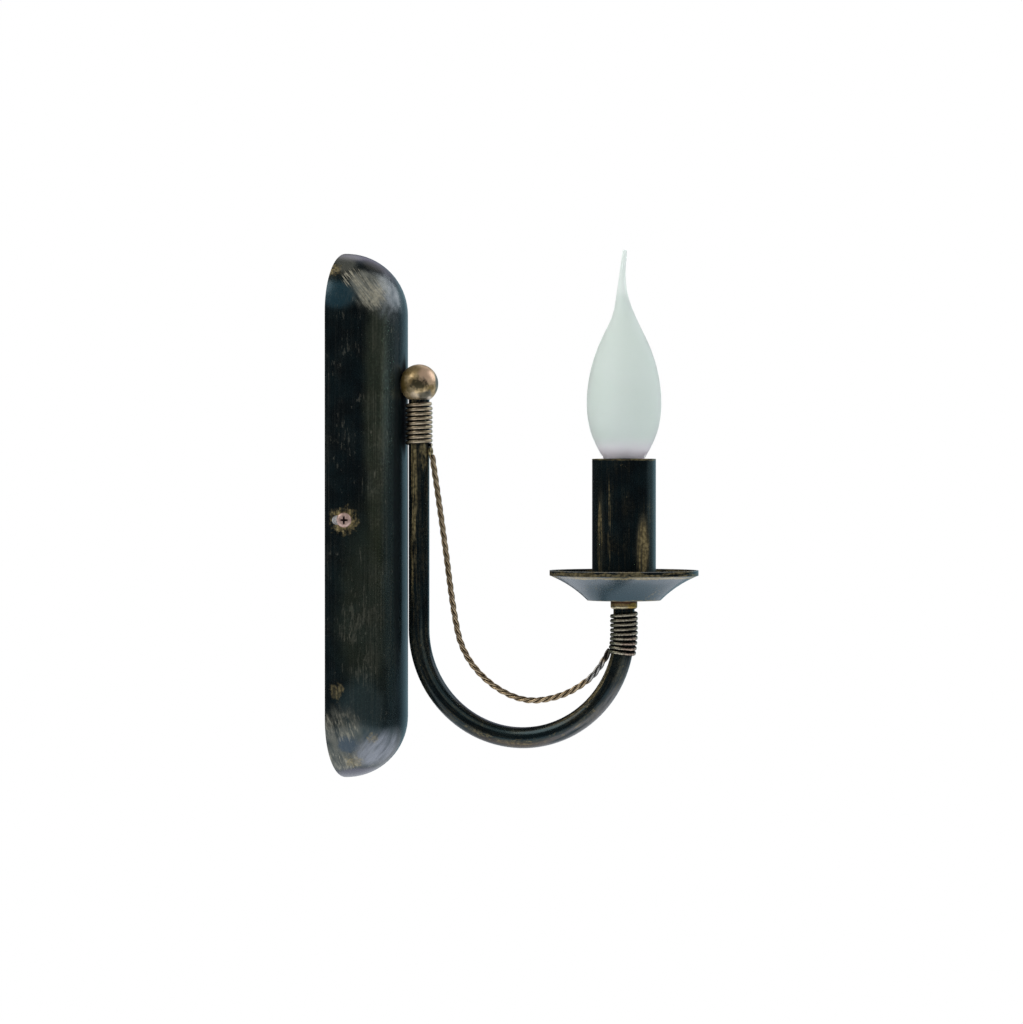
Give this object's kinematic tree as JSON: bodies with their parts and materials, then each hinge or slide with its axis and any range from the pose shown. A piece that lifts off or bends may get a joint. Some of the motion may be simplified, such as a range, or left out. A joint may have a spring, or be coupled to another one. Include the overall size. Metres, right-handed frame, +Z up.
{
  "type": "wall lamp",
  "caption": "Wall lamp with a half-round canopy, a J-shaped tube arm wound with wire, a twisted swag, a drip pan and a candle sleeve with a frosted flame bulb.",
  "frame": {"origin": "centre of the two wall screw slots, on the wall plane", "axes": "+Y into the wall, -Y into the room, +Z up, +X to the right seen from the room"},
  "size_m": [0.07, 0.1743, 0.253],
  "materials": {
    "dark_patina": "satin dark patina with dry-brushed bronze streaks",
    "antique_bronze": "aged bronze",
    "zinc_steel": "zinc plated",
    "copper_screw": "worn copper",
    "holder_plastic": "moulded",
    "contact_brass": "bare brass",
    "frosted_glass": "frosted",
    "clear_glass": "clear",
    "nickel_cap": "nickel plated",
    "black_insulator": "black glass",
    "tungsten": "drawn wire",
    "block_plastic": "moulded",
    "brown_wire": "insulated",
    "blue_wire": "insulated",
    "green_wire": "insulated"
  },
  "bodies": {
    "fixture": {"canopy_shell": "dark_patina", "arm_tube": "dark_patina", "drip_pan": "dark_patina", "arm_nipple": "dark_patina", "nipple_nut": "dark_patina", "nipple_washer": "dark_patina", "pan_nut": "dark_patina", "arm_ball": "antique_bronze", "upper_winding": "antique_bronze", "lower_winding": "antique_bronze", "swag_rope": "antique_bronze", "rope_eye": "antique_bronze", "pan_collar": "antique_bronze", "pan_washer": "antique_bronze", "wall_bracket": "zinc_steel", "earth_screw": "zinc_steel", "block_screw": "zinc_steel", "holder_terminal_screws": "zinc_steel", "terminal_screws": "zinc_steel", "canopy_screws": "copper_screw", "holder_base": "holder_plastic", "holder_body": "holder_plastic", "holder_shell": "contact_brass", "holder_contact": "contact_brass", "holder_terminals": "contact_brass", "terminal_clamps": "contact_brass", "earth_lug": "contact_brass", "terminal_block": "block_plastic", "live_wire": "brown_wire", "neutral_wire": "blue_wire", "earth_wire": "green_wire"},
    "bulb_foot": {"bulb_insulator": "black_insulator", "bulb_contact": "contact_brass"},
    "bulb": {"bulb_glass": "frosted_glass", "bulb_cap": "nickel_cap", "bulb_stem": "clear_glass", "bulb_leads": "nickel_cap", "bulb_filament": "tungsten"},
    "candle_sleeve": {"candle_sleeve": "dark_patina"}
  },
  "joints": [
    {"name": "bulb_rise", "type": "slide", "parent": "fixture", "child": "bulb_foot", "axis": [0, 0, 1], "range_m": [0, 0.00987]},
    {"name": "bulb_turn", "type": "hinge", "parent": "bulb_foot", "child": "bulb", "pos_m": [0, -0.1393, 0.01], "axis": [0, 0, 1], "range_deg": [0, 1260]},
    {"name": "sleeve_lift", "type": "slide", "parent": "fixture", "child": "candle_sleeve", "axis": [0, 0, 1], "range_m": [0, 0.006]}
  ],
  "couplings": [
    {"joint": "bulb_rise", "follows": "bulb_turn", "m_per_rad": 0.00044882}
  ]
}
